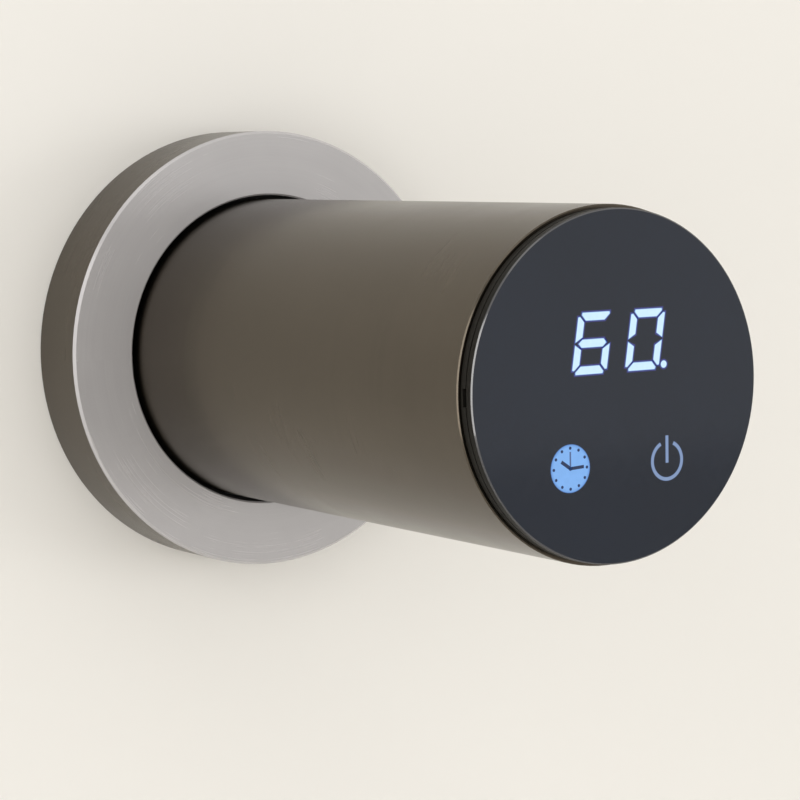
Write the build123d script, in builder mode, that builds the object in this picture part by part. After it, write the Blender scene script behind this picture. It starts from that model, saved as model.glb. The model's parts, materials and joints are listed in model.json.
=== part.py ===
"""Wall-held heated towel rail: a short heated tube with a touch display in its free end.

Millimetres. +Z is up, the wall is the plane y = 0 and the rail stands out of it along -Y,
so a distance from the wall is written here as a positive number and drawn at y = -distance.
"""
from math import cos, radians, sin, sqrt, tan
import os

from build123d import *

# Driving sizes of the tube and of the end that the hand meets
projection = 128.0
tube_diameter = 60.0
tube_wall = 1.5
tube_rim_chamfer = 0.2
lip_gap = 0.15
lip_thick = 1.3
lip_setback = 0.6
pry_notch_width = 3.0
pry_notch_depth = 0.7
adhesive_thick = 0.25
adhesive_setback = 1.0
glass_thick = 1.4
glass_chamfer = 0.22

# Driving sizes of the sliding wall flange and its grip ring
flange_diameter = 87.0
flange_depth = 14.9
flange_skirt = 1.5
flange_face = 2.0
flange_bevel = 0.5
flange_wall_gap = 0.2
bore_gap = 0.8
bore_bevel = 0.3
collar_width = 3.6
collar_depth = 6.5
grip_section = 2.4
grip_fit = 0.08
grip_groove_gap = 0.15

# Driving sizes of the mounting plate, its screws and its cable entry
plate_thick = 2.5
plate_edge_gap = 1.5
spigot_length = 13.5
spigot_wall = 2.8
slip_fit = 0.2
wall_hole_edge = 5.5
wall_hole_diameter = 4.5
wall_hole_count = 4
tube_screw_diameter = 4.0
tube_screw_distance = 8.5
tube_screw_length = 3.8
tube_screw_count = 3
hex_key = 2.0
cable_diameter = 7.0
cable_drop = 13.0
grommet_wall = 2.4
grommet_lip = 2.0
grommet_lip_thick = 1.5
grommet_sleeve = 6.5
earth_screw_x = -16.0
earth_screw_z = -3.0
earth_head_diameter = 7.0
earth_head_height = 2.5

# Driving sizes of the terminal block and the wires that leave it
block_width = 18.0
block_tall = 12.0
block_depth = 12.0
block_rise = 10.0
wire_pitch = 4.0
wire_diameter = 2.2
wire_bend = 8.0
clamp_screw_diameter = 2.8
clamp_screw_length = 6.0

# Driving sizes of the heater
mat_thick = 1.3
mat_start_gap = 3.5
mat_end_gap = 1.7
mat_gap_angle = 16.0
sleeve_thick = 0.8
sleeve_inset = 2.0
sleeve_gap_angle = 48.0
cutout_width = 10.0
cutout_length = 16.0
cutout_height = 4.0
sensor_diameter = 3.6
sensor_length = 8.0
sensor_x = 9.0
sensor_exit_z = 17.5
sensor_lead_diameter = 1.0
sensor_bend = 5.0
lead_diameter = 1.8
lead_x = 7.2
lead_drop = 16.0
lead_landing = 12.0
lead_bend = 5.0
disc_thick = 4.0

# Driving sizes of the control housing
housing_wall = 3.4
housing_floor = 2.0
wire_hole_diameter = 12.0
seal_section = 2.0
seal_setback = 4.0
clip_count = 3
clip_length = 12.0
clip_width = 5.0
clip_thick = 0.4
clip_pocket_depth = 1.0
clip_setback = 13.0
post_edge = 3.3
post_diameter = 5.6
post_angles = (90.0, 190.0, 350.0)

# Driving sizes of the boards and what stands on them
board_thick = 1.6
board_gap = 0.5
board_pitch = 13.9
parts_room = 18.0
screw_diameter = 2.5
screw_bite = 8.0
screw_head_diameter = 4.6
screw_head_height = 1.6
spacer_diameter = 5.2
transformer_size = (11.5, 11.0, 15.0)
transformer_place = (-12.2, 8.5)
relay_size = (11.5, 11.0, 14.0)
relay_place = (12.2, 8.5)
capacitor_diameters = (8.0, 6.0)
capacitor_places = ((-11.5, -10.0), (12.5, -10.0))
capacitor_height = 13.0
film_size = (10.0, 6.0, 10.0)
film_edge = 6.8
header_size = (14.0, 4.0)
header_edge = 5.3
chip_size = (10.0, 7.0, 1.4)

# Driving sizes of the display: two slanted seven-segment digits and two touch keys
digit_height = 10.15
digit_width = 7.15
digit_stroke = 1.4
digit_slant = 9.0
digit_pitch = 10.9
digit_left = -9.6
digit_bottom = 2.45
segment_gap = 0.3
dot_diameter = 1.3
dot_x = 9.55
dot_z = 3.3
key_edge = 8.0
key_angles = (-128.2, -52.0)
key_ring_outer = 12.0
key_ring_inner = 8.8
light_depth = 6.7
led_size = 0.8
led_height = 0.7

# Small clearances between pieces that are fitted to each other
press_gap = 0.1
seat_gap = 0.2
part_gap = 0.3

# Radii and distances from the wall that follow from the sizes above
tube_r = tube_diameter / 2
tube_inner_r = tube_r - tube_wall
glass_back = projection - glass_thick
lip_front = glass_back - adhesive_thick
lip_back = lip_front - lip_thick
tube_end = lip_back - lip_gap
lip_r = tube_r - lip_setback
flange_r = flange_diameter / 2
bore_r = tube_r + bore_gap
plate_r = flange_r - flange_skirt - plate_edge_gap
spigot_r = tube_inner_r - slip_fit
spigot_inner_r = spigot_r - spigot_wall
spigot_end = plate_thick + spigot_length
screw_r = screw_diameter / 2
wire_r = wire_diameter / 2
lead_r = lead_diameter / 2
housing_r = tube_inner_r - part_gap
housing_inner_r = housing_r - housing_wall
board_r = housing_inner_r - board_gap
light_front = glass_back - part_gap
display_front = light_front - light_depth
display_back = display_front - board_thick
power_front = display_front - board_pitch
power_back = power_front - board_thick
floor_front = power_back - parts_room
housing_back = floor_front - housing_floor
disc_front = housing_back - part_gap
disc_back = disc_front - disc_thick
mat_r = tube_inner_r - seat_gap
mat_inner_r = mat_r - mat_thick
mat_back = spigot_end + mat_start_gap
mat_front = disc_back - mat_end_gap
sleeve_r = mat_inner_r - seat_gap
sleeve_inner_r = sleeve_r - sleeve_thick
post_circle_r = board_r - post_edge
post_places = [
    (post_circle_r * cos(radians(a)), post_circle_r * sin(radians(a))) for a in post_angles
]
key_circle_r = board_r - key_edge
key_places = [
    (key_circle_r * cos(radians(a)), key_circle_r * sin(radians(a))) for a in key_angles
]
wall_hole_circle_r = plate_r - wall_hole_edge


def wall_plane(distance):
    """Give the plane parallel to the wall at a distance from it, facing into the room."""
    return Plane.XZ.offset(distance)


def radial_plane(angle):
    """Give the plane through the tube's axis: X is the radius at an angle, Y is the row's Y."""
    a = radians(angle)
    return Plane(origin=(0, 0, 0), x_dir=(cos(a), 0, sin(a)), z_dir=(-sin(a), 0, cos(a)))


def spoke_plane(angle, distance, radius):
    """Give the plane square to a spoke of the tube, at a radius and a distance from the wall."""
    a = radians(angle)
    spoke = Vector(cos(a), 0, sin(a))
    return Plane(origin=Vector(0, -distance, 0) + spoke * radius, z_dir=spoke)


def turned_section(points):
    """Draw a closed outline from (radius, distance from the wall) pairs, ready to revolve."""
    with BuildLine() as outline:
        Polyline([(r, -d) for r, d in points], close=True)
    make_face(outline.edges())


def sector(radius, middle, spread):
    """Draw a pie slice about an angle, to cut a gap into a ring."""
    low = radians(middle - spread / 2)
    high = radians(middle + spread / 2)
    reach = 2 * radius
    with BuildLine() as outline:
        Polyline(
            (0, 0), (reach * cos(low), reach * sin(low)),
            (reach * cos(high), reach * sin(high)), close=True,
        )
    make_face(outline.edges(), mode=Mode.SUBTRACT)


def spread_angles(count, first=90.0):
    """Give evenly spread angles round the tube, the first one at the top."""
    return [first + 360.0 / count * i for i in range(count)]


def segment_outlines(left):
    """Give the seven slanted segment outlines of one digit whose lower left corner is at left."""
    stroke, wide, high, middle = digit_stroke, digit_width, digit_height, digit_height / 2
    gap = segment_gap / sqrt(2)
    bottom_bar = [(gap, 0), (wide - gap, 0), (wide - stroke - gap, stroke), (stroke + gap, stroke)]
    lower_post = [
        (0, gap), (0, middle - gap), (stroke, middle - stroke / 2 - gap), (stroke, stroke + gap)
    ]
    middle_bar = [
        (stroke / 2 + gap, middle), (stroke + gap, middle + stroke / 2),
        (wide - stroke - gap, middle + stroke / 2), (wide - stroke / 2 - gap, middle),
        (wide - stroke - gap, middle - stroke / 2), (stroke + gap, middle - stroke / 2),
    ]
    shapes = [middle_bar, bottom_bar, [(x, high - y) for x, y in bottom_bar]]
    for post in (lower_post, [(x, high - y) for x, y in lower_post]):
        shapes += [post, [(wide - x, y) for x, y in post]]
    lean = tan(radians(digit_slant))
    outlines = [[(left + x + lean * y, digit_bottom + y) for x, y in shape] for shape in shapes]
    return outlines


segments = segment_outlines(digit_left) + segment_outlines(digit_left + digit_pitch)
os.makedirs("parts", exist_ok=True)


def save(builder, name):
    """Label a finished piece and write it as its own file."""
    builder.part.label = name
    export_step(builder.part, f"parts/{name}.step")


# Mounting plate: a disc on the wall with a spigot that carries the tube
cable_hole_r = cable_diameter / 2 + grommet_wall + press_gap
earth_shank_r = 2.0
with BuildPart() as mounting_plate:
    with BuildSketch(wall_plane(0)):
        Circle(plate_r)
        with PolarLocations(wall_hole_circle_r, wall_hole_count, start_angle=45):
            Circle(wall_hole_diameter / 2, mode=Mode.SUBTRACT)
        with Locations((0, -cable_drop)):
            Circle(cable_hole_r, mode=Mode.SUBTRACT)
        with Locations((earth_screw_x, earth_screw_z)):
            Circle(earth_shank_r, mode=Mode.SUBTRACT)
    extrude(amount=plate_thick)
    with BuildSketch(wall_plane(plate_thick)):
        Circle(spigot_r)
        Circle(spigot_inner_r, mode=Mode.SUBTRACT)
    extrude(amount=spigot_length)
    chamfer(
        mounting_plate.edges().filter_by(GeomType.CIRCLE).group_by(Axis.Y)[0].sort_by(
            SortBy.RADIUS)[-1],
        length=spigot_wall / 4,
    )
    for angle in spread_angles(tube_screw_count):
        with BuildSketch(spoke_plane(angle, tube_screw_distance, spigot_inner_r - spigot_wall)):
            Circle(tube_screw_diameter / 2 + press_gap / 2)
        extrude(amount=spigot_wall * 3, mode=Mode.SUBTRACT)
save(mounting_plate, "mounting_plate")

# Heated tube: slides over the spigot, its rim chamfered at the free end
with BuildPart() as heated_tube:
    with BuildSketch(wall_plane(plate_thick)):
        Circle(tube_r)
        Circle(tube_inner_r, mode=Mode.SUBTRACT)
    extrude(amount=tube_end - plate_thick)
    chamfer(
        heated_tube.edges().filter_by(GeomType.CIRCLE).group_by(Axis.Y)[0].sort_by(
            SortBy.RADIUS)[-1],
        length=tube_rim_chamfer,
    )
    for angle in spread_angles(tube_screw_count):
        with BuildSketch(spoke_plane(angle, tube_screw_distance, tube_inner_r - tube_wall)):
            Circle(tube_screw_diameter / 2 + seat_gap)
        extrude(amount=tube_wall * 4, mode=Mode.SUBTRACT)
save(heated_tube, "heated_tube")

# Tube screws: socket grub screws from the spigot out to just under the tube's surface
with BuildPart() as tube_screws:
    outer_end = tube_r - seat_gap * 2
    for angle in spread_angles(tube_screw_count):
        with BuildSketch(
            spoke_plane(angle, tube_screw_distance, outer_end - tube_screw_length)
        ):
            Circle(tube_screw_diameter / 2)
        extrude(amount=tube_screw_length)
        with BuildSketch(spoke_plane(angle, tube_screw_distance, outer_end)):
            RegularPolygon(hex_key / 2, 6, major_radius=False)
        extrude(amount=-tube_screw_length / 2, mode=Mode.SUBTRACT)
save(tube_screws, "tube_screws")

# Cable grommet: rubber neck in the plate's hole, lip on its inner face, sleeve for the cable
grommet_r = cable_diameter / 2 + grommet_wall
lip_start = plate_thick
grommet_end = lip_start + grommet_lip_thick + grommet_sleeve
with BuildPart() as cable_grommet:
    with BuildSketch(wall_plane(press_gap)):
        with Locations((0, -cable_drop)):
            Circle(grommet_r)
    extrude(amount=grommet_end - press_gap)
    with BuildSketch(wall_plane(lip_start)):
        with Locations((0, -cable_drop)):
            Circle(grommet_r + grommet_lip)
    extrude(amount=grommet_lip_thick)
    chamfer(
        cable_grommet.edges().filter_by(GeomType.CIRCLE).group_by(Axis.Y)[0],
        length=grommet_wall / 2,
    )
    with BuildSketch(wall_plane(0)):
        with Locations((0, -cable_drop)):
            Circle(cable_diameter / 2)
    extrude(amount=grommet_end, mode=Mode.SUBTRACT)
save(cable_grommet, "cable_grommet")

# Earth screw: pan head on the plate's inner face, shank in the plate
with BuildPart() as earth_screw:
    with BuildSketch(wall_plane(plate_thick)):
        with Locations((earth_screw_x, earth_screw_z)):
            Circle(earth_head_diameter / 2)
    extrude(amount=earth_head_height)
    chamfer(
        earth_screw.edges().filter_by(GeomType.CIRCLE).group_by(Axis.Y)[0],
        length=earth_head_height / 4,
    )
    with BuildSketch(wall_plane(plate_thick)):
        with Locations((earth_screw_x, earth_screw_z)):
            Circle(earth_shank_r - press_gap)
    extrude(amount=-(plate_thick - part_gap))
    with BuildSketch(wall_plane(plate_thick + earth_head_height)):
        with Locations((earth_screw_x, earth_screw_z)):
            Rectangle(earth_head_diameter * 0.7, earth_head_height / 3)
            Rectangle(earth_head_height / 3, earth_head_diameter * 0.7)
    extrude(amount=-earth_head_height / 2, mode=Mode.SUBTRACT)
save(earth_screw, "earth_screw")

# Terminal block: three clamp screws above three wire entries
wire_places = [((i - 1) * wire_pitch, block_rise - block_tall / 6) for i in range(3)]
clamp_places = [(x, block_rise + block_tall / 4) for x, _ in wire_places]
block_front = plate_thick + block_depth
wire_entry = block_depth / 2
with BuildPart() as terminal_block:
    with BuildSketch(wall_plane(plate_thick)):
        with Locations((0, block_rise)):
            Rectangle(block_width, block_tall)
    extrude(amount=block_depth)
    fillet(terminal_block.edges().filter_by(Axis.Y), radius=1.0)
    with BuildSketch(wall_plane(block_front)):
        with Locations(*wire_places):
            Circle(wire_r + seat_gap)
    extrude(amount=-wire_entry, mode=Mode.SUBTRACT)
    with BuildSketch(wall_plane(block_front)):
        with Locations(*clamp_places):
            Circle(clamp_screw_diameter / 2 + press_gap)
    extrude(amount=-clamp_screw_length - part_gap, mode=Mode.SUBTRACT)
save(terminal_block, "terminal_block")

# Terminal screws: slotted clamp screws, sunk a little in the block
with BuildPart() as terminal_screws:
    with BuildSketch(wall_plane(block_front - clamp_screw_length - seat_gap)):
        with Locations(*clamp_places):
            Circle(clamp_screw_diameter / 2)
    extrude(amount=clamp_screw_length)
    with BuildSketch(wall_plane(block_front - seat_gap)):
        with Locations(*clamp_places):
            Rectangle(clamp_screw_diameter * 1.2, clamp_screw_diameter / 5)
    extrude(amount=-clamp_screw_diameter / 3, mode=Mode.SUBTRACT)
save(terminal_screws, "terminal_screws")

# Supply wires: from the block, down to the tube's axis and along it to the power board
with BuildPart() as supply_wires:
    for x, z in wire_places:
        start = block_front - wire_entry + seat_gap
        run_start = block_front + wire_bend
        run_end = run_start + 2 * wire_bend
        with BuildLine() as route:
            FilletPolyline(
                (x, -start, z), (x, -run_start, z), (x, -run_end, 0),
                (x, -(power_back - seat_gap), 0), radius=wire_bend,
            )
        with BuildSketch(Plane(origin=(x, -start, z), z_dir=(0, -1, 0))):
            Circle(wire_r)
        sweep(path=route.wires()[0])
save(supply_wires, "supply_wires")

# Heating mat: a silicone sheet rolled against the tube's inner wall, open at the bottom
with BuildPart() as heating_mat:
    with BuildSketch(wall_plane(mat_back)):
        Circle(mat_r)
        Circle(mat_inner_r, mode=Mode.SUBTRACT)
        sector(mat_r, -90, mat_gap_angle)
    extrude(amount=mat_front - mat_back)
save(heating_mat, "heating_mat")

# Spring sleeve: a split steel sleeve that presses the mat outwards
with BuildPart() as spring_sleeve:
    with BuildSketch(wall_plane(mat_back + sleeve_inset)):
        Circle(sleeve_r)
        Circle(sleeve_inner_r, mode=Mode.SUBTRACT)
        sector(sleeve_r, -90, sleeve_gap_angle)
    extrude(amount=mat_front - mat_back - 2 * sleeve_inset)
save(spring_sleeve, "spring_sleeve")

# Thermal cut-out: a flat can on the sleeve's left side
cutout_outer = sqrt(sleeve_inner_r ** 2 - (cutout_width / 2) ** 2) - seat_gap
heater_middle = (mat_back + mat_front) / 2
with BuildPart() as thermal_cutout:
    with BuildSketch(wall_plane(heater_middle - cutout_length / 2)):
        with Locations((-cutout_outer + cutout_height / 2, 0)):
            RectangleRounded(cutout_height, cutout_width, 1.0)
    extrude(amount=cutout_length)
save(thermal_cutout, "thermal_cutout")

# Temperature sensor: a bead under the sleeve with two leads to the power board
sensor_r = sensor_diameter / 2
sensor_lead_r = sensor_lead_diameter / 2
sensor_seat_r = sleeve_inner_r - sensor_r - seat_gap
sensor_z = sqrt(sensor_seat_r ** 2 - sensor_x ** 2)
sensor_back = heater_middle - sensor_length / 2
sensor_front = heater_middle + sensor_length / 2
with BuildPart() as temperature_sensor:
    with BuildSketch(wall_plane(sensor_back)):
        with Locations((sensor_x, sensor_z)):
            Circle(sensor_r)
    extrude(amount=sensor_length)
    chamfer(temperature_sensor.edges().filter_by(GeomType.CIRCLE), length=sensor_r * 0.4)
    for x in (sensor_x - sensor_lead_diameter, sensor_x + sensor_lead_diameter):
        start = sensor_front - sensor_length / 4
        with BuildLine() as route:
            FilletPolyline(
                (x, -start, sensor_z), (x, -(sensor_front + sensor_bend), sensor_z),
                (x, -(sensor_front + 3 * sensor_bend), sensor_exit_z),
                (x, -(power_back - seat_gap), sensor_exit_z), radius=sensor_bend,
            )
        with BuildSketch(Plane(origin=(x, -start, sensor_z), z_dir=(0, -1, 0))):
            Circle(sensor_lead_r)
        sweep(path=route.wires()[0])
save(temperature_sensor, "temperature_sensor")

# Heater leads: from the power board back along the tube, then down to the mat's open edges
lead_distance = mat_front - lead_landing
lead_end_z = -sqrt(mat_inner_r ** 2 - (lead_x + lead_r) ** 2) + seat_gap
with BuildPart() as heater_leads:
    for x in (-lead_x, lead_x):
        with BuildLine() as route:
            FilletPolyline(
                (x, -(power_back - seat_gap), -lead_drop), (x, -lead_distance, -lead_drop),
                (x, -lead_distance, lead_end_z), radius=lead_bend,
            )
        with BuildSketch(Plane(
            origin=(x, -(power_back - seat_gap), -lead_drop), z_dir=(0, 1, 0)
        )):
            Circle(lead_r)
        sweep(path=route.wires()[0])
save(heater_leads, "heater_leads")


def wire_holes(mode):
    """Draw the holes that the supply wires, heater leads and sensor leads pass through."""
    Circle(wire_hole_diameter / 2, mode=mode)
    with Locations((-lead_x, -lead_drop), (lead_x, -lead_drop)):
        Circle(lead_r + seat_gap * 2, mode=mode)
    with Locations((sensor_x, sensor_exit_z)):
        Circle(sensor_lead_diameter * 1.5 + seat_gap * 2, mode=mode)


# Insulation disc: keeps the heater's warmth from the electronics
with BuildPart() as insulation_disc:
    with BuildSketch(wall_plane(disc_back)):
        Circle(housing_r)
        wire_holes(Mode.SUBTRACT)
    extrude(amount=disc_thick)
save(insulation_disc, "insulation_disc")

# Control housing: a cup that plugs the tube's free end, with a lip over the tube's rim
seal_front = lip_back - seal_setback
seal_back = seal_front - seal_section - 2 * press_gap
seal_r = tube_inner_r - press_gap - seal_section / 2
seal_groove_r = seal_r - seal_section / 2 - press_gap
clip_front = lip_back - clip_setback
clip_middle = clip_front - clip_length / 2
clip_pocket_r = housing_r - clip_pocket_depth
pilot_depth = screw_bite + part_gap
with BuildPart() as control_housing:
    with BuildSketch(Plane.XY):
        turned_section([
            (0, housing_back), (housing_r, housing_back), (housing_r, seal_back),
            (seal_groove_r, seal_back), (seal_groove_r, seal_front), (housing_r, seal_front),
            (housing_r, lip_back), (lip_r, lip_back), (lip_r, lip_front),
            (housing_inner_r, lip_front), (housing_inner_r, floor_front), (0, floor_front),
        ])
    revolve(axis=Axis.Y)
    with BuildSketch(wall_plane(floor_front)):
        with Locations(*post_places):
            Circle(post_diameter / 2)
    extrude(amount=parts_room)
    with BuildSketch(wall_plane(power_back)):
        with Locations(*post_places):
            Circle(screw_r + press_gap)
    extrude(amount=-pilot_depth, mode=Mode.SUBTRACT)
    with BuildSketch(wall_plane(housing_back)):
        wire_holes(Mode.ADD)
    extrude(amount=housing_floor, mode=Mode.SUBTRACT)
    for angle in spread_angles(clip_count):
        with BuildSketch(radial_plane(angle)):
            with Locations((clip_pocket_r + clip_pocket_depth, -clip_middle)):
                Rectangle(2 * clip_pocket_depth, clip_length + 2 * part_gap)
        extrude(amount=clip_width / 2 + part_gap, both=True, mode=Mode.SUBTRACT)
    with BuildSketch(wall_plane(lip_front)):
        with Locations((-lip_r, 0)):
            Rectangle(2 * pry_notch_depth, pry_notch_width)
    extrude(amount=-pry_notch_depth, mode=Mode.SUBTRACT)
save(control_housing, "control_housing")

# Housing seal: a rubber ring of eight-sided section in the housing's groove
with BuildPart() as housing_seal:
    with BuildSketch(Plane.XY):
        with Locations((seal_r, -(seal_back + seal_front) / 2)):
            RegularPolygon(seal_section / 2, 8, major_radius=False, rotation=22.5)
    revolve(axis=Axis.Y)
save(housing_seal, "housing_seal")

# Retaining springs: bowed steel leaves in the housing's pockets that grip the tube's wall
bow_top = sqrt((tube_inner_r - press_gap) ** 2 - (clip_width / 2) ** 2)
bow_foot = clip_pocket_r + press_gap + clip_thick
with BuildPart() as retaining_springs:
    for angle in spread_angles(clip_count):
        with BuildSketch(radial_plane(angle)):
            with BuildLine():
                reach = clip_length / 2
                outer = ThreePointArc(
                    (bow_foot, -clip_middle - reach), (bow_top, -clip_middle),
                    (bow_foot, -clip_middle + reach),
                )
                inner = ThreePointArc(
                    (bow_foot - clip_thick, -clip_middle - reach),
                    (bow_top - clip_thick, -clip_middle),
                    (bow_foot - clip_thick, -clip_middle + reach),
                )
                Line(outer @ 0, inner @ 0)
                Line(outer @ 1, inner @ 1)
            make_face()
        extrude(amount=clip_width / 2, both=True)
save(retaining_springs, "retaining_springs")

# Power board: a round board on the housing's posts
with BuildPart() as power_board:
    with BuildSketch(wall_plane(power_back)):
        Circle(board_r)
        with Locations(*post_places):
            Circle(screw_r + seat_gap, mode=Mode.SUBTRACT)
    extrude(amount=board_thick)
save(power_board, "power_board")


def board_block(size, place):
    """Stand a block with rounded upright corners on the power board's rear face."""
    wide, tall, deep = size
    with BuildSketch(wall_plane(power_back)) as base:
        with Locations(place):
            RectangleRounded(wide, tall, min(wide, tall) / 10)
    extrude(base.sketch, amount=-deep)


# Transformer: a core with a narrower waist of winding tape
waist = min(transformer_size) / 12
with BuildPart() as transformer:
    board_block(transformer_size, transformer_place)
    with BuildSketch(wall_plane(power_back - transformer_size[2] / 4)):
        with Locations(transformer_place):
            Rectangle(2 * transformer_size[0], 2 * transformer_size[1])
            Rectangle(
                transformer_size[0] - 2 * waist, transformer_size[1] - 2 * waist,
                mode=Mode.SUBTRACT,
            )
    extrude(amount=-transformer_size[2] / 2, mode=Mode.SUBTRACT)
save(transformer, "transformer")

# Relay: a sealed block that switches the heating mat
with BuildPart() as relay:
    board_block(relay_size, relay_place)
    chamfer(
        relay.faces().sort_by(Axis.Y)[-1].edges(), length=min(relay_size) / 20
    )
save(relay, "relay")

# Capacitors: two round cans of different sizes
with BuildPart() as capacitors:
    for diameter, place in zip(capacitor_diameters, capacitor_places):
        with BuildSketch(wall_plane(power_back)):
            with Locations(place):
                Circle(diameter / 2)
        extrude(amount=-capacitor_height)
    chamfer(
        capacitors.edges().filter_by(GeomType.CIRCLE).group_by(Axis.Y)[-1],
        length=min(capacitor_diameters) / 12,
    )
save(capacitors, "capacitors")

# Film capacitor: a flat block beside the heater leads
with BuildPart() as film_capacitor:
    board_block(film_size, (0, film_edge - board_r))
save(film_capacitor, "film_capacitor")

# Board connector: the pin header that joins the two boards
with BuildPart() as board_connector:
    with BuildSketch(wall_plane(power_front)):
        with Locations((0, header_edge - board_r)):
            Rectangle(*header_size)
    extrude(amount=display_back - power_front)
save(board_connector, "board_connector")

# Board spacers: sleeves on the screws between the two boards
with BuildPart() as board_spacers:
    with BuildSketch(wall_plane(power_front)):
        with Locations(*post_places):
            Circle(spacer_diameter / 2)
            Circle(screw_r + seat_gap, mode=Mode.SUBTRACT)
    extrude(amount=display_back - power_front)
save(board_spacers, "board_spacers")

# Display board: the front board that carries the lamps and the touch rings
with BuildPart() as display_board:
    with BuildSketch(wall_plane(display_back)):
        Circle(board_r)
        with Locations(*post_places):
            Circle(screw_r + seat_gap, mode=Mode.SUBTRACT)
    extrude(amount=board_thick)
save(display_board, "display_board")

# Board screws: through both boards and the spacers into the housing's posts
with BuildPart() as board_screws:
    with BuildSketch(wall_plane(display_front)):
        with Locations(*post_places):
            Circle(screw_head_diameter / 2)
    extrude(amount=screw_head_height)
    with BuildSketch(wall_plane(display_front)):
        with Locations(*post_places):
            Circle(screw_r)
    extrude(amount=-(display_front - power_back + screw_bite))
    with BuildSketch(wall_plane(display_front + screw_head_height)):
        with Locations(*post_places):
            Rectangle(screw_head_diameter * 0.6, screw_head_diameter / 8)
            Rectangle(screw_head_diameter / 8, screw_head_diameter * 0.6)
    extrude(amount=-screw_head_height / 2, mode=Mode.SUBTRACT)
save(board_screws, "board_screws")

# Driver chip: on the rear face of the display board
with BuildPart() as driver_chip:
    with BuildSketch(wall_plane(display_back)):
        with Locations((0, chip_size[1])):
            Rectangle(chip_size[0], chip_size[1])
    extrude(amount=-chip_size[2])
save(driver_chip, "driver_chip")

# Display lamps: one under each segment, one under the point and one in each touch ring
lamp_places = [
    (sum(x for x, _ in outline) / len(outline), sum(z for _, z in outline) / len(outline))
    for outline in segments
]
lamp_places += [(dot_x, dot_z), *key_places]
with BuildPart() as display_lamps:
    with BuildSketch(wall_plane(display_front)):
        with Locations(*lamp_places):
            Rectangle(led_size, led_size)
    extrude(amount=led_height)
save(display_lamps, "display_lamps")

# Touch rings: conductive rubber sleeves between the display board and the glass
with BuildPart() as touch_rings:
    with BuildSketch(wall_plane(display_front)):
        with Locations(*key_places):
            Circle(key_ring_outer / 2)
            Circle(key_ring_inner / 2, mode=Mode.SUBTRACT)
    extrude(amount=light_depth)
save(touch_rings, "touch_rings")

# Light box: a block with a shaft for each segment, the point and the touch rings
with BuildPart() as light_box:
    with BuildSketch(wall_plane(display_front)):
        Circle(board_r)
        with Locations(*key_places):
            Circle(key_ring_outer / 2 + seat_gap, mode=Mode.SUBTRACT)
        with Locations((dot_x, dot_z)):
            Circle(dot_diameter / 2, mode=Mode.SUBTRACT)
        for outline in segments:
            with BuildLine():
                Polyline(outline, close=True)
            make_face(mode=Mode.SUBTRACT)
    extrude(amount=light_depth)
    with BuildSketch(wall_plane(display_front)):
        with Locations(*post_places):
            Circle(screw_head_diameter / 2 + part_gap)
    extrude(amount=screw_head_height + part_gap, mode=Mode.SUBTRACT)
save(light_box, "light_box")

# Glass adhesive: a thin ring between the housing's lip and the glass
with BuildPart() as glass_adhesive:
    with BuildSketch(wall_plane(lip_front)):
        Circle(lip_r - adhesive_setback)
        Circle(housing_inner_r + part_gap, mode=Mode.SUBTRACT)
    extrude(amount=adhesive_thick)
save(glass_adhesive, "glass_adhesive")

# Glass panel: a dark glass disc with a ground edge that closes the tube's end
with BuildPart() as glass_panel:
    with BuildSketch(wall_plane(glass_back)):
        Circle(lip_r)
    extrude(amount=glass_thick)
    chamfer(
        glass_panel.edges().filter_by(GeomType.CIRCLE).group_by(Axis.Y)[0],
        length=glass_chamfer,
    )
save(glass_panel, "glass_panel")

# Wall flange: a spun cover with a collar that slides along the tube
collar_back = flange_depth - collar_depth
collar_r = bore_r + collar_width
skirt_inner_r = flange_r - flange_skirt
groove_middle = collar_back + (collar_depth - bore_bevel) / 2
groove_half = grip_section / 2 + grip_groove_gap
grip_r = tube_r + grip_fit + grip_section / 2
groove_r = grip_r + grip_section / 2 + grip_groove_gap
with BuildPart() as wall_flange:
    with BuildSketch(Plane.XY):
        turned_section([
            (flange_r, flange_wall_gap), (flange_r, flange_depth - flange_bevel),
            (flange_r - flange_bevel, flange_depth), (bore_r + bore_bevel, flange_depth),
            (bore_r, flange_depth - bore_bevel), (bore_r, groove_middle + groove_half),
            (groove_r, groove_middle + groove_half), (groove_r, groove_middle - groove_half),
            (bore_r, groove_middle - groove_half), (bore_r, collar_back),
            (collar_r, collar_back), (collar_r, flange_depth - flange_face),
            (skirt_inner_r, flange_depth - flange_face), (skirt_inner_r, flange_wall_gap),
        ])
    revolve(axis=Axis.Y)
save(wall_flange, "wall_flange")

# Flange grip ring: an eight-sided rubber ring in the collar that holds the flange in place
with BuildPart() as flange_grip_ring:
    with BuildSketch(Plane.XY):
        with Locations((grip_r, -groove_middle)):
            RegularPolygon(grip_section / 2, 8, major_radius=False, rotation=22.5)
    revolve(axis=Axis.Y)
save(flange_grip_ring, "flange_grip_ring")
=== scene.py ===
"""Looks of the short heated towel rail: finishes, the lit display, the room and the camera."""
import json
import math

import bmesh
import bpy
import numpy as np
from mathutils import Matrix, Vector


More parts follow.
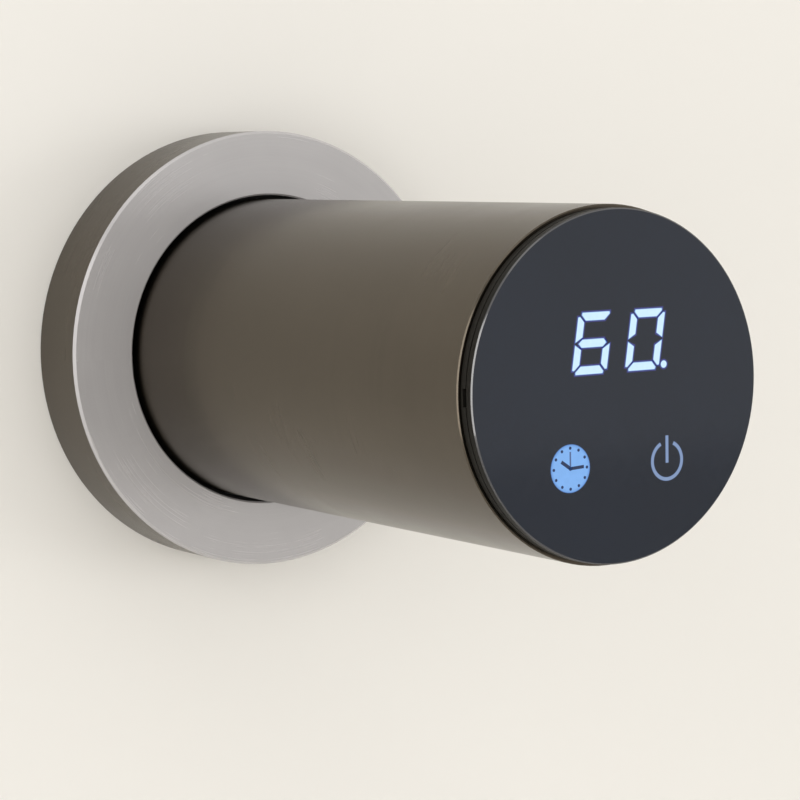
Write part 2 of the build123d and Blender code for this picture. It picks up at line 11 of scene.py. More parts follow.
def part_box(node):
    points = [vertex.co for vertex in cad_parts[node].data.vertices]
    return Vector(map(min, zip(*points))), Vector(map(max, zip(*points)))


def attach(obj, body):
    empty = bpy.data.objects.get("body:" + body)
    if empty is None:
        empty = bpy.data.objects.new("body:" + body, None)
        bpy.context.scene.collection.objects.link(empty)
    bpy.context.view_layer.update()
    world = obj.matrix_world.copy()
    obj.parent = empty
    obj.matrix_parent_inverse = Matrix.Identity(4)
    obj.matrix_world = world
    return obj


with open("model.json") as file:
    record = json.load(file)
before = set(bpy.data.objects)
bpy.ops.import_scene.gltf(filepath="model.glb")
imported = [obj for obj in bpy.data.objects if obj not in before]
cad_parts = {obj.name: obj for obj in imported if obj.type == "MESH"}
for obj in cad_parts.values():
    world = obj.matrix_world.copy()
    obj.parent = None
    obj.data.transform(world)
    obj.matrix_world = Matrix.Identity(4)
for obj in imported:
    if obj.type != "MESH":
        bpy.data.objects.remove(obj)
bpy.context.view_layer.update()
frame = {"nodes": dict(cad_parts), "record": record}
MM = 0.001

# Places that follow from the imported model
glass_low, glass_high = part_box("glass_panel")
FRONT = glass_low[1]
GLASS_R = (glass_high[0] - glass_low[0]) / 2
tube_low, tube_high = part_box("heated_tube")
TUBE_R = (tube_high[0] - tube_low[0]) / 2

# Camera: angles in degrees, place in tube radii, focal length in pixels of an 800 pixel frame
FRAME_PX = 800
FOCAL_PX = 2590
AZIMUTH = -33.10
ELEVATION = 5.57
ROLL = -1.00
EYE = (-8.711, -15.439, 1.326)
SENSOR_WIDTH = 36.0
CLIP_START = 0.01

# Colours of the tube and flange, the flange's face painted lighter as a painted reflection, the
# glass with its bevel painted lighter as a painted highlight and its side, and a lit piece
# without its light
METAL = (0.107, 0.091, 0.071)
FACE_PAINTED_REFLECTION = (0.555, 0.542, 0.548)
GLASS_TONE = (0.007, 0.012, 0.024)
BEVEL_PAINTED_HIGHLIGHT = (0.05, 0.05, 0.055)
SIDE_BLACK = (0.010, 0.009, 0.007)
UNLIT = (0.01, 0.012, 0.016)
WHITE = (1.0, 1.0, 1.0)

# Flange face, painted lighter as a painted reflection: how far a normal looks along the axis
# where the painted face starts and is full, and how metallic it is
FACE_START = 0.45
FACE_FULL = 0.65
FACE_METALLIC = 0.25

# Shine of the glass on its face, bevel and side, and the roughness its side has on top
FACE_SHINE = 0.5
EDGE_SHINE = 1.0
SIDE_SHINE = 0.08
SIDE_DULLING = 0.3

# Bevel of the glass, painted lighter as a painted highlight, in millimetres: where it starts and
# is full, in from the rim, and how far back from the front it goes
BEVEL_START = 0.26
BEVEL_FULL = 0.22
BEVEL_DEPTH = 0.21

# Noise: the usual span of its values, the narrower one of wear, and its roughness
NOISE_SPAN = (0.3, 0.7)
WEAR_SPAN = (0.35, 0.65)
NOISE_ROUGHNESS = 0.55

# Noise scales of fine and broad brushing: rings go by radius and y per metre and by angle per
# radian, lines go by x, y and z per metre
RING_SCALES = ((5200, 5200, 1.2), (420, 420, 0.8))
LINE_SCALES = ((14, 5200, 14), (9, 380, 9))

# Sockets of a Mix node that mixes colours: share, first and second colour, and its result
MIX_INPUTS = (0, 6, 7)
MIX_RESULT = 2

# Colours of the lit pieces at (glow, colour) stops, with glow 0 at the rim and 1 in the core
GLOWS = {
    "digit_light": [(0.0, (0.012, 0.05, 0.20)), (0.35, (0.12, 0.30, 0.74)),
                    (0.7, (0.50, 0.74, 0.98)), (1.0, (0.63, 0.86, 1.0))],
    "clock_light": [(0.0, (0.04, 0.12, 0.36)), (0.3, (0.15, 0.35, 0.76)),
                    (1.0, (0.205, 0.44, 0.87))],
    "power_light": [(0.0, (0.03, 0.07, 0.2)), (0.5, (0.14, 0.22, 0.40)),
                    (1.0, (0.21, 0.30, 0.50))],
    "clock_mark": [(0.0, (0.02, 0.07, 0.24)), (1.0, (0.003, 0.016, 0.07))],
    "clock_faint": [(0.0, (0.16, 0.28, 0.55)), (1.0, (0.07, 0.12, 0.27))],
    "halo_light": [(0.0, (0.022, 0.028, 0.10)), (1.0, (0.03, 0.03, 0.22))],
}

# Lit pieces: thickness and height of one layer in millimetres, and the two layers in use
FILM = 0.010
STEP = 0.006
BASE = 0
OVER = 2

# Digits, seen from the front: lengths in millimetres, slant in degrees
DIGIT_HEIGHT = 10.15
DIGIT_WIDTH = 7.15
DIGIT_STROKE = 1.4
DIGIT_SLANT = 9.0
DIGIT_PITCH = 10.9
DIGIT_LEFT = -9.6
DIGIT_BOTTOM = 2.45
SEGMENT_GAP = 0.34
SEGMENT_CUT = 0.5
MIDDLE_TIP = 0.75
HALO = 0.24
POINT_PLACE = (9.55, 3.2)
POINT_R = 0.66

# Shares of SEGMENT_GAP that a post's outer and inner edge keep from the middle bar's level, and
# of HALO that a halo's ends run out by
OUTER_GAP_SHARE = 0.6
INNER_GAP_SHARE = 1.3
HALO_END_SHARE = 0.9

# Ends of the bars that are cut at their outer corner; a post has only its first end cut. A cut
# starts at this share of the way from a segment's middle line to its outer edge
CUT_ENDS = {"a": (1, 1), "d": (1, 1), "g": (0, 0)}
POST_CUTS = (1, 0)
CUT_START = 0.4

# Glow of a segment: its value at the rim, and how far in from the sides and the ends it rises
RIM_GLOW = 0.35
SIDE_FALL = 0.2
END_FALL = 0.08

# Glow of a strip and of a disc, before it is cut off at 1
STRIP_GLOW = 1.6
DISC_GLOW = 5

# Clock and power sign: lengths in millimetres, angles in degrees
TWELVE = 90
HOURS = 12
CLOCK_PLACE = (-10.0, -12.7)
CLOCK_R = 4.0
CLOCK_DOT_CIRCLE = 3.36
CLOCK_DOT_R = 0.27
HAND_TAIL = 0.3
POWER_PLACE = (10.13, -12.95)
POWER_R = 3.45
POWER_STROKE = 0.66
POWER_GAP = 25.0
POWER_BAR_TOP = -8.76
POWER_BAR_BOTTOM = -13.35

# Clock hands: angle from twelve, length, width and lit material
CLOCK_HANDS = {
    "second": (0, 2.75, 0.34, "clock_faint"),
    "hour": (-56, 2.2, 0.6, "clock_mark"),
    "minute": (87, 2.75, 0.56, "clock_mark"),
}

# Fineness of the lit pieces: points along a bar, a segment and the power ring, turns and rings
# of a disc and of a clock dot, and places over a film from one edge at -1 to the other at 1
BAR_POINTS = 18
SEGMENT_POINTS = 21
RING_POINTS = 72
DISC_TURNS = 48
DISC_RINGS = 8
DOT_TURNS = 16
DOT_RINGS = 3
STRIP_ACROSS = np.linspace(-1, 1, 9)
SEGMENT_ACROSS = np.array([-1, -0.9, -0.8, -0.6, -0.4, 0, 0.4, 0.8, 0.9, 1])

# Share of a disc's radius that its innermost ring has, and metres between points that are one
DISC_CORE = 0.001
MERGE_DISTANCE = 1e-8

# Room in metres: half side of wall and floor, height of the tube's axis over the floor, and the
# wall's hole behind the mounting plate, its turns and its distance behind the plate
ROOM = 3.0
FLOOR_DROP = 0.45
WALL_HOLE_R = 0.040
WALL_TURNS = 96
WALL_GAP = 0.0004
WALL_PAINT = (0.925, 0.908, 0.865)
FLOOR_PAINT = (0.72, 0.71, 0.69)
WORLD_COLOUR = (1.0, 0.98, 0.95, 1.0)
WORLD_STRENGTH = 0.86
LAMP_AIM = (0, -0.06, 0)


def new_material(name):
    """Give an empty node material and its node tree."""
    material = bpy.data.materials.new(name)
    material.use_nodes = True
    material.node_tree.nodes.clear()
    return material, material.node_tree


def put(tree, value, socket):
    """Link a node's result to an input, or set the input to a plain value."""
    if isinstance(value, bpy.types.NodeSocket):
        tree.links.new(value, socket)
    else:
        socket.default_value = value


def node(tree, kind, **values):
    """Add a node; words with a capital are inputs by name, the others are settings."""
    made = tree.nodes.new(kind)
    for key, value in values.items():
        if key[0].isupper():
            put(tree, value, made.inputs[key.replace("_", " ")])
        else:
            setattr(made, key, value)
    return made


def math_node(tree, operation, *values):
    """Add a Math node on sockets or numbers and give its result."""
    made = node(tree, "ShaderNodeMath", operation=operation)
    for socket, value in zip(made.inputs, values):
        put(tree, value, socket)
    return made.outputs[0]


def weighted(tree, *parts):
    """Add up the products of (value, weight) pairs."""
    total, *others = [math_node(tree, "MULTIPLY", value, weight) for value, weight in parts]
    for product in others:
        total = math_node(tree, "ADD", total, product)
    return total


def scaled_noise(tree, vector, scale, detail):
    """Give the value of noise over a vector that is stretched by three factors."""
    mapping = node(tree, "ShaderNodeMapping", Vector=vector, Scale=scale)
    noise = node(tree, "ShaderNodeTexNoise", Vector=mapping.outputs["Vector"], Scale=1.0,
                 Detail=detail, Roughness=NOISE_ROUGHNESS)
    return noise.outputs["Fac"]


def ramp(tree, value, stops):
    """Turn a value into a colour by (place, colour) stops."""
    made = node(tree, "ShaderNodeValToRGB", Fac=value)
    band = made.color_ramp
    while len(band.elements) < len(stops):
        band.elements.new(0.5)
    for element, (place, colour) in zip(band.elements, stops):
        element.position = place
        element.color = (*colour, 1.0)
    return made.outputs["Color"]


def shade(colour, factor):
    """Make a colour lighter or darker."""
    return tuple(min(1.0, channel * factor) for channel in colour)


def two_tone(tree, value, colour, low, high, span=NOISE_SPAN):
    """Run a colour over noise from a low to a high factor."""
    return ramp(tree, value, [(span[0], shade(colour, low)), (span[1], shade(colour, high))])


def remap(tree, value, low, high):
    """Spread noise's usual span over low to high."""
    return node(tree, "ShaderNodeMapRange", Value=value, From_Min=NOISE_SPAN[0],
                From_Max=NOISE_SPAN[1], To_Min=low, To_Max=high).outputs["Result"]


def mix_colour(tree, share, first, second, blend="MIX"):
    """Blend two colours by a share of the second."""
    made = node(tree, "ShaderNodeMix", data_type="RGBA", blend_type=blend)
    for place, value in zip(MIX_INPUTS, (share, first, second)):
        put(tree, value, made.inputs[place])
    return made.outputs[MIX_RESULT]


def relief(tree, height, strength, distance):
    """Give a bumped normal from a height value and a distance in metres."""
    return node(tree, "ShaderNodeBump", Height=height, Strength=strength,
                Distance=distance).outputs["Normal"]


def from_axis(tree, place):
    """Split a place into x, y and z, and give its distance from the tube's axis too."""
    x, y, z = node(tree, "ShaderNodeSeparateXYZ", Vector=place).outputs
    return x, y, z, math_node(tree, "SQRT", weighted(tree, (x, x), (z, z)))


def object_place(tree):
    """Give each point's place in its object, in metres."""
    return node(tree, "ShaderNodeTexCoord").outputs["Object"]


def brushed_metal(name, colour, rough, turned, face=None):
    """Metal with fine brush lines that run round the tube's axis.

    Where turned is true the lines follow the radius as well, so that flat faces have rings.
    Where face is given, surfaces that look along the axis are painted that lighter colour as a
    painted reflection, and are less metallic.
    """
    material, tree = new_material(name)
    place = object_place(tree)
    if turned:
        x, y, z, radius = from_axis(tree, place)
        where = node(tree, "ShaderNodeCombineXYZ", X=radius, Y=y,
                     Z=math_node(tree, "ARCTAN2", z, x)).outputs[0]
        fine_scale, broad_scale = RING_SCALES
    else:
        where = place
        fine_scale, broad_scale = LINE_SCALES
    fine = scaled_noise(tree, where, fine_scale, 5.0)
    broad = scaled_noise(tree, where, broad_scale, 3.0)
    cloud = scaled_noise(tree, place, (38, 38, 38), 3.0)
    lines = weighted(tree, (fine, 0.6), (broad, 0.4))
    tone = two_tone(tree, lines, colour, 0.95, 1.05)
    metallic = 1.0
    # Surfaces that look along the axis get a lighter painted grey, a painted reflection, and less
    # metal
    if face:
        normal = node(tree, "ShaderNodeTexCoord").outputs["Normal"]
        along = node(tree, "ShaderNodeSeparateXYZ", Vector=normal).outputs["Y"]
        painted_reflection_mask = node(tree, "ShaderNodeMapRange", Value=math_node(tree, "ABSOLUTE", along),
                    From_Min=FACE_START, From_Max=FACE_FULL).outputs["Result"]
        tone = mix_colour(tree, painted_reflection_mask, tone, two_tone(tree, lines, face, 0.97, 1.03))
        metallic = node(tree, "ShaderNodeMapRange", Value=painted_reflection_mask, To_Min=metallic,
                        To_Max=FACE_METALLIC).outputs["Result"]
    worn = two_tone(tree, cloud, WHITE, 0.93, 1.0, WEAR_SPAN)
    roughness = math_node(tree, "ADD", remap(tree, lines, rough - 0.02, rough + 0.02),
                          remap(tree, cloud, -0.02, 0.03))
    tangent = node(tree, "ShaderNodeTangent", direction_type="RADIAL", axis="Y")
    shader = node(tree, "ShaderNodeBsdfPrincipled", Metallic=metallic, Roughness=roughness,
                  Base_Color=mix_colour(tree, 1.0, tone, worn, "MULTIPLY"),
                  Anisotropic=0.55, Anisotropic_Rotation=0.25,
                  Tangent=tangent.outputs["Tangent"],
                  Normal=relief(tree, lines, 0.02, 0.05 * MM))
    node(tree, "ShaderNodeOutputMaterial", Surface=shader.outputs[0])
    return material


def moulded(name, colour, rough, grain=900.0, depth=0.15, shine=0.5, coat=0.0):
    """Moulded plastic, rubber or cast stuff: fine grain, slight cloudiness, varied sheen."""
    material, tree = new_material(name)
    place = object_place(tree)
    fine = scaled_noise(tree, place, (grain, grain, grain), 3.0)
    cloud = scaled_noise(tree, place, (60, 60, 60), 3.0)
    shader = node(tree, "ShaderNodeBsdfPrincipled", Specular_IOR_Level=shine, Coat_Weight=coat,
                  Base_Color=two_tone(tree, cloud, colour, 0.92, 1.08),
                  Roughness=remap(tree, fine, rough - 0.06, rough + 0.06),
                  Normal=relief(tree, fine, depth, 0.06 * MM))
    node(tree, "ShaderNodeOutputMaterial", Surface=shader.outputs[0])
    return material


def dark_glass(name, colour):
    """Dark glass with a painted highlight on its bevel, a black side and a trace of dust in its
    polish.
    """
    material, tree = new_material(name)
    place = object_place(tree)
    y, radius = from_axis(tree, place)[1::2]
    dust = scaled_noise(tree, place, (700, 700, 700), 4.0)
    cloud = scaled_noise(tree, place, (45, 45, 45), 3.0)
    rim = node(tree, "ShaderNodeMapRange", Value=radius, From_Min=GLASS_R - BEVEL_START * MM,
               From_Max=GLASS_R - BEVEL_FULL * MM).outputs["Result"]
    bevel_back = FRONT + BEVEL_DEPTH * MM
    bevel_mask = math_node(tree, "MULTIPLY", rim, math_node(tree, "LESS_THAN", y, bevel_back))
    side = math_node(tree, "GREATER_THAN", y, bevel_back)
    # The bevel is painted a lighter grey: a painted highlight beside the real glint from the
    # lamps
    tone = mix_colour(tree, bevel_mask, two_tone(tree, cloud, colour, 0.93, 1.07), (*BEVEL_PAINTED_HIGHLIGHT, 1.0))
    shine = math_node(tree, "ADD", FACE_SHINE, weighted(
        tree, (bevel_mask, EDGE_SHINE - FACE_SHINE), (side, SIDE_SHINE - FACE_SHINE)
    ))
    polish = math_node(tree, "ADD", remap(tree, dust, 0.05, 0.10),
                       math_node(tree, "MULTIPLY", side, SIDE_DULLING))
    shader = node(tree, "ShaderNodeBsdfPrincipled", IOR=1.5, Specular_IOR_Level=shine,
                  Base_Color=mix_colour(tree, side, tone, (*SIDE_BLACK, 1.0)),
                  Roughness=polish)
    node(tree, "ShaderNodeOutputMaterial", Surface=shader.outputs[0])
    return material


def lit_film(name, stops):
    """Light through the glass: the piece's own glow attribute runs from its rim to its core."""
    material, tree = new_material(name)
    glow = node(tree, "ShaderNodeAttribute", attribute_name="glow").outputs["Fac"]
    uneven = scaled_noise(tree, object_place(tree), (900, 900, 900), 2.0)
    varied = mix_colour(tree, 1.0, ramp(tree, glow, stops),
                        two_tone(tree, uneven, WHITE, 0.95, 1.0), "MULTIPLY")
    shader = node(tree, "ShaderNodeBsdfPrincipled", Base_Color=(*UNLIT, 1.0), Roughness=0.2,
                  Emission_Color=varied, Emission_Strength=1.0)
    node(tree, "ShaderNodeOutputMaterial", Surface=shader.outputs[0])
    return material


# One finish for each slot of the record, and the lit materials
FINISHES = {
    "gunmetal": brushed_metal("gunmetal", METAL, 0.24, turned=False),
    # The flange's face is painted a lighter grey here: a painted reflection
    "flange_metal": brushed_metal("flange_metal", METAL, 0.26, turned=True, face=FACE_PAINTED_REFLECTION),
    "zinc_steel": brushed_metal("zinc_steel", (0.60, 0.60, 0.58), 0.32, turned=True),
    "spring_steel": brushed_metal("spring_steel", (0.55, 0.55, 0.56), 0.28, turned=False),
    "black_plastic": moulded("black_plastic", (0.012, 0.011, 0.009), 0.5, shine=0.12),
    "white_plastic": moulded("white_plastic", (0.72, 0.72, 0.70), 0.45),
    "board_green": moulded("board_green", (0.03, 0.16, 0.07), 0.35, grain=1400),
    "component_dark": moulded("component_dark", (0.03, 0.03, 0.035), 0.4),
    "component_blue": moulded("component_blue", (0.03, 0.08, 0.28), 0.3, coat=0.3),
    "black_rubber": moulded("black_rubber", (0.015, 0.015, 0.015), 0.65),
    "red_silicone": moulded("red_silicone", (0.35, 0.06, 0.03), 0.5),
    "grey_rubber": moulded("grey_rubber", (0.12, 0.12, 0.125), 0.6),
    "wire_brown": moulded("wire_brown", (0.16, 0.07, 0.03), 0.4),
    "insulation": moulded("insulation", (0.62, 0.60, 0.54), 0.8, grain=500, depth=0.5),
    "black_glass": dark_glass("black_glass", GLASS_TONE),
    "lamp_white": moulded("lamp_white", (0.80, 0.84, 0.86), 0.3),
    # The clear adhesive is coloured near black: painted shade of the recess where it sits by the
    # glass
    "clear_adhesive": moulded("clear_adhesive", (0.01, 0.01, 0.01), 0.5),
}
LIT = {name: lit_film(name, stops) for name, stops in GLOWS.items()}

slots = {entry["node"]: entry["material_slot"] for entry in frame["record"]["subparts"]}
for name, item in frame["nodes"].items():
    for place in item.material_slots:
        place.material = FINISHES[slots[name]]
    if not item.material_slots:
        item.data.materials.append(FINISHES[slots[name]])


def over_and_under(values):
    """Give values over a film's top and back under it, and 1 for each on top, 0 for below."""
    top = np.concatenate([np.ones(len(values)), np.zeros(len(values))])
    return np.concatenate([values, values[::-1]]), top


def lay(points, level, top):
    """Put (x, z) millimetres on the glass and give them as places in metres.

    The height over FRONT is STEP times the level, and FILM more where top is 1.
    """
    out = np.empty(points.shape[:-1] + (3,))
    out[..., 0] = points[..., 0] * MM
    out[..., 1] = FRONT - (STEP * level + FILM * top) * MM
    out[..., 2] = points[..., 1] * MM
    return out


def film_piece(name, sections, glows, material):
    """Skin a row of closed sections, an (n, k, 3) array, and cap both ends.

    A vertex is the section number n and the place k round the section; a face joins four
    neighbours. The glow of each vertex goes into the piece's own attribute.
    """
    count, around = sections.shape[:2]
    index = np.arange(count * around).reshape(count, around)
    here, ahead = index[:-1], index[1:]
    quads = np.stack([here, ahead, np.roll(ahead, -1, axis=1), np.roll(here, -1, axis=1)], -1)
    faces = quads.reshape(-1, 4).tolist()
    faces += [index[0].tolist(), index[-1][::-1].tolist()]
    mesh = bpy.data.meshes.new(name)
    mesh.from_pydata(sections.reshape(-1, 3).tolist(), [], faces)
    glow = mesh.attributes.new("glow", "FLOAT", "POINT")
    glow.data.foreach_set("value", glows.reshape(-1).astype(np.float32))
    mesh.validate()
    face_outward(mesh)
    piece = bpy.data.objects.new(name, mesh)
    bpy.context.scene.collection.objects.link(piece)
    mesh.materials.append(LIT[material])
    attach(piece, "wall_unit")


def face_outward(mesh):
    """Merge doubled points and turn every face of a closed piece outward."""
    work = bmesh.new()
    work.from_mesh(mesh)
    bmesh.ops.remove_doubles(work, verts=work.verts, dist=MERGE_DISTANCE)
    bmesh.ops.recalc_face_normals(work, faces=work.faces)
    work.to_mesh(mesh)
    work.free()


def strip(name, path, reach, material, level=BASE):
    """Lay a flat lit strip along a path of (x, z) points, with a reach to each side.

    A section runs over the strip from one edge to the other and back under it. Its point is
    path + side * reach * v, with v from -1 to 1, and its glow is STRIP_GLOW * (1 - |v| ** 3), at
    most 1.
    """
    run = np.gradient(path, axis=0)
    run /= np.linalg.norm(run, axis=1, keepdims=True)
    side = np.stack([run[:, 1], -run[:, 0]], -1)
    v, top = over_and_under(STRIP_ACROSS)
    spread = path[:, None, :] + side[:, None, :] * reach * v[None, :, None]
    glow = np.clip(STRIP_GLOW * (1 - np.abs(v) ** 3), 0, 1)
    film_piece(name, lay(spread, level, top), np.broadcast_to(glow, spread.shape[:2]), material)


def bar_path(start, end):
    """Give evenly spread points from one place to another."""
    t = np.linspace(0, 1, BAR_POINTS)[:, None]
    return np.asarray(start) * (1 - t) + np.asarray(end) * t


def arc_path(centre, radius, first, last, count):
    """Give points on a circle between two angles in degrees."""
    angle = np.radians(np.linspace(first, last, count))
    return np.asarray(centre) + radius * np.stack([np.cos(angle), np.sin(angle)], -1)


def segment_edges():
    """Give each segment's outer edge, then its inner edge, as (x, y) ends."""
    wide, high, stroke = DIGIT_WIDTH, DIGIT_HEIGHT, DIGIT_STROKE
    middle, gap = DIGIT_HEIGHT / 2, SEGMENT_GAP / math.sqrt(2)
    inner_end = middle - stroke / 2 - gap * INNER_GAP_SHARE
    low_bar = np.array([[(gap, 0), (wide - gap, 0)],
                        [(stroke + gap, stroke), (wide - stroke - gap, stroke)]])
    low_post = np.array([[(0, gap), (0, middle - gap * OUTER_GAP_SHARE)],
                         [(stroke, stroke + gap), (stroke, inner_end)]])
    mirror, shift = np.array([-1, 1]), np.array([wide, 0])
    flip, lift = np.array([1, -1]), np.array([0, high])
    high_post = low_post * flip + lift
    across = np.array([(stroke, 0), (wide - stroke, 0)])
    return {
        "a": low_bar * flip + lift, "d": low_bar, "e": low_post, "f": high_post,
        "b": high_post * mirror + shift, "c": low_post * mirror + shift,
        "g": np.stack([across + (0, middle - stroke / 2), across + (0, middle + stroke / 2)]),
    }


def segment_film(name, edges, tips, cuts, left, grow, material, level):
    """Lay one segment: a patch between its outer and inner edge, each let out by grow.

    A point is outer * (1 - v) / 2 + inner * (1 + v) / 2, then start * (1 - u) + end * u. Each
    end runs out by its share of grow and by tip * (1 - |v|), and back by its cut near the outer
    edge, where v goes from -CUT_START to -1. The digit's slant moves x by tan(slant) * z. The
    glow falls to RIM_GLOW just before each edge and each end.
    """
    outer, inner = edges
    along = (outer[1] - outer[0]) / np.linalg.norm(outer[1] - outer[0])
    across = inner.mean(0) - outer.mean(0)
    across /= np.linalg.norm(across)
    u = np.linspace(0, 1, SEGMENT_POINTS)[:, None, None]
    v, top = over_and_under(SEGMENT_ACROSS)
    v = v[None, :, None]
    ends = []
    for side, tip, cut in zip((0, 1), tips, cuts):
        way = along * (2 * side - 1)
        far = (outer[side] - across * grow) * (1 - v) / 2
        near = (inner[side] + across * grow) * (1 + v) / 2
        cut_back = cut * np.clip((-v - CUT_START) / (1 - CUT_START), 0, 1)
        run = grow * HALO_END_SHARE + tip * (1 - np.abs(v)) - cut_back
        ends.append(far + near + way * run)
    flat = ends[0] * (1 - u) + ends[1] * u
    flat[..., 0] += left + math.tan(math.radians(DIGIT_SLANT)) * flat[..., 1]
    flat[..., 1] += DIGIT_BOTTOM
    side_rise = np.clip((1 - np.abs(v[..., 0])) / SIDE_FALL, 0, 1)
    end_rise = np.clip((1 - np.abs(2 * u[..., 0] - 1)) / END_FALL, 0, 1)
    glows = RIM_GLOW + (1 - RIM_GLOW) * side_rise * end_rise
    film_piece(name, lay(flat, level, top), glows, material)


def digit(name, left, lit):
    """Lay one slanted seven-segment digit, each lit segment over a slightly larger halo."""
    edges = segment_edges()
    for key in lit:
        tips = (MIDDLE_TIP, MIDDLE_TIP) if key == "g" else (0, 0)
        cuts = [end * SEGMENT_CUT for end in CUT_ENDS.get(key, POST_CUTS)]
        segment_film(f"{name}_{key}_halo", edges[key], tips, cuts, left, HALO, "halo_light", BASE)
        segment_film(f"{name}_{key}", edges[key], tips, cuts, left, 0.0, "digit_light", OVER)


def disc(name, centre, radius, material, level=BASE, turns=DISC_TURNS, rings=DISC_RINGS):
    """Lay a round lit disc as rings from the middle out over its top and back under it.

    A point is centre + radius * reach * (cos angle, sin angle), with reach from 0 to 1, and its
    glow is DISC_GLOW * (1 - reach ** 2), at most 1.
    """
    angle = np.linspace(0, 2 * math.pi, turns, endpoint=False)
    reach, top = over_and_under(np.linspace(DISC_CORE, 1, rings))
    flat = np.asarray(centre) + radius * reach[:, None, None] * np.stack(
        [np.cos(angle), np.sin(angle)], -1)
    glow = np.clip(DISC_GLOW * (1 - reach[:, None] ** 2), 0, 1)
    film_piece(name, lay(flat, level, top[:, None]), np.broadcast_to(glow, flat.shape[:2]),
               material)


def hand(name, degrees, length, width, material):
    """Lay one clock hand at an angle from twelve, a little past the middle at its tail."""
    turn = math.radians(TWELVE - degrees)
    way = np.array([math.cos(turn), math.sin(turn)])
    centre = np.array(CLOCK_PLACE)
    path = bar_path(centre - way * HAND_TAIL, centre + way * length)
    strip(name, path, width / 2, material, level=OVER)


digit("digit_left", DIGIT_LEFT, "acdefg")
digit("digit_right", DIGIT_LEFT + DIGIT_PITCH, "abcdef")
disc("digit_point_halo", POINT_PLACE, POINT_R + HALO, "halo_light")
disc("digit_point", POINT_PLACE, POINT_R, "digit_light", level=OVER)
disc("clock_face", CLOCK_PLACE, CLOCK_R, "clock_light")
eleven = TWELVE - 360 / HOURS * (HOURS - 1)
for hour, spot in enumerate(arc_path(CLOCK_PLACE, CLOCK_DOT_CIRCLE, TWELVE, eleven, HOURS)):
    disc(f"clock_dot_{hour + 1}", spot, CLOCK_DOT_R, "clock_mark", OVER, DOT_TURNS, DOT_RINGS)
for key, values in CLOCK_HANDS.items():
    hand(f"clock_hand_{key}", *values)
power_arc = arc_path(POWER_PLACE, POWER_R - POWER_STROKE / 2, TWELVE + POWER_GAP,
                     TWELVE + 360 - POWER_GAP, RING_POINTS)
power_line = bar_path((POWER_PLACE[0], POWER_BAR_TOP), (POWER_PLACE[0], POWER_BAR_BOTTOM))
strip("power_ring", power_arc, POWER_STROKE / 2, "power_light")
strip("power_bar", power_line, POWER_STROKE / 2, "power_light")


def stage_mesh(name, corners, faces, material):
    """Add one flat surface of the room."""
    mesh = bpy.data.meshes.new(name)
    mesh.from_pydata(corners.tolist(), [], faces.tolist())
    mesh.materials.append(material)
    made = bpy.data.objects.new(name, mesh)
    bpy.context.scene.collection.objects.link(made)


def plaster(name, colour, clear_behind):
    """Matt pale paint with faint roller texture, clear when seen from behind if asked."""
    material, tree = new_material(name)
    place = object_place(tree)
    cloud = scaled_noise(tree, place, (3, 3, 3), 4.0)
    fine = scaled_noise(tree, place, (260, 260, 260), 4.0)
    surface = node(tree, "ShaderNodeBsdfPrincipled", Roughness=0.85,
                   Base_Color=two_tone(tree, cloud, colour, 0.985, 1.0),
                   Normal=relief(tree, fine, 0.05, 0.2 * MM)).outputs[0]
    if clear_behind:
        pick = tree.nodes.new("ShaderNodeMixShader")
        behind = tree.nodes.new("ShaderNodeNewGeometry").outputs["Backfacing"]
        clear = tree.nodes.new("ShaderNodeBsdfTransparent").outputs[0]
        for socket, value in zip(pick.inputs, (behind, surface, clear)):
            put(tree, value, socket)
        surface = pick.outputs[0]
    node(tree, "ShaderNodeOutputMaterial", Surface=surface)
    return material


def open_wall():
    """Give the corners and faces of a square wall that is open behind the mounting plate.

    At each angle t there is a corner on the hole, at WALL_HOLE_R * (cos t, sin t), and one on
    the square, at ROOM * (cos t, sin t) / max(|cos t|, |sin t|). A face joins four neighbours.
    The hole lets light reach the plate's rear face.
    """
    t = np.linspace(0, 2 * math.pi, WALL_TURNS, endpoint=False)
    way = np.stack([np.cos(t), np.sin(t)], -1)
    flat = np.concatenate([way * WALL_HOLE_R, way * (ROOM / np.abs(way).max(1, keepdims=True))])
    here = np.arange(WALL_TURNS)
    ahead = np.roll(here, -1)
    return (np.insert(flat, 1, WALL_GAP, axis=1),
            np.stack([here, here + WALL_TURNS, ahead + WALL_TURNS, ahead], -1))


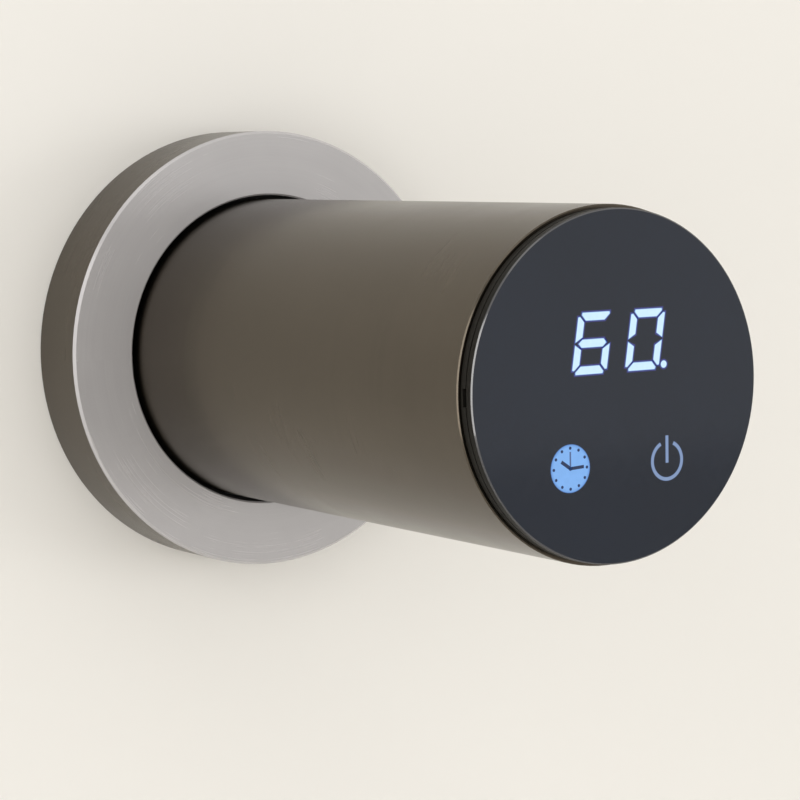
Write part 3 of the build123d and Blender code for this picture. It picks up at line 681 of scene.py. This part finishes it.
def lamp(name, place, size, power, colour):
    """Add a soft lamp, size wide and high in metres and power in watts, aimed at the rail."""
    light = bpy.data.lights.new(name, "AREA")
    light.shape = "RECTANGLE"
    light.size, light.size_y = size
    light.energy = power
    light.color = colour
    made = bpy.data.objects.new(name, light)
    turn = (Vector(LAMP_AIM) - Vector(place)).to_track_quat("-Z", "Y").to_matrix().to_4x4()
    made.matrix_world = Matrix.Translation(place) @ turn
    bpy.context.scene.collection.objects.link(made)


# Room: a pale wall that is clear from behind, a floor, soft lamps and an even world
stage_mesh("wall", *open_wall(), plaster("wall_paint", WALL_PAINT, True))
stage_mesh("floor", np.array([(-ROOM, -ROOM, -FLOOR_DROP), (ROOM, -ROOM, -FLOOR_DROP),
                              (ROOM, ROOM, -FLOOR_DROP), (-ROOM, ROOM, -FLOOR_DROP)]),
           np.array([[0, 1, 2, 3]]), plaster("floor_paint", FLOOR_PAINT, False))
lamp("right_lamp", (2.0, -1.15, -0.2), (0.9, 1.2), 12.0, (1.0, 0.985, 0.97))
lamp("left_lamp", (-0.95, -0.75, -0.1), (0.22, 1.9), 5.4, (1.0, 0.98, 0.97))
lamp("top_lamp", (-0.3, -0.45, 1.0), (0.5, 0.5), 0.45, (1.0, 0.98, 0.95))

world = bpy.data.worlds.new("room_light")
bpy.context.scene.world = world
world.use_nodes = True
world.node_tree.nodes["Background"].inputs["Color"].default_value = WORLD_COLOUR
world.node_tree.nodes["Background"].inputs["Strength"].default_value = WORLD_STRENGTH

# Camera: its axes are worked out from azimuth, elevation and roll
az, el, roll = (math.radians(angle) for angle in (AZIMUTH, ELEVATION, ROLL))
back = Vector((math.sin(az) * math.cos(el), -math.cos(az) * math.cos(el), math.sin(el)))
level_right = Vector((math.cos(az), math.sin(az), 0))
level_up = back.cross(level_right)
right = level_right * math.cos(roll) + level_up * math.sin(roll)
up = level_up * math.cos(roll) - level_right * math.sin(roll)
lens = bpy.data.cameras.new("camera")
lens.sensor_width = SENSOR_WIDTH
lens.sensor_fit = "HORIZONTAL"
lens.lens = FOCAL_PX / FRAME_PX * SENSOR_WIDTH
lens.clip_start = CLIP_START
camera = bpy.data.objects.new("camera", lens)
pose = Matrix((right, up, back)).transposed().to_4x4()
pose.translation = Vector(EYE) * TUBE_R
camera.matrix_world = pose
bpy.context.scene.collection.objects.link(camera)
bpy.context.scene.camera = camera
bpy.context.scene.view_settings.view_transform = "Standard"
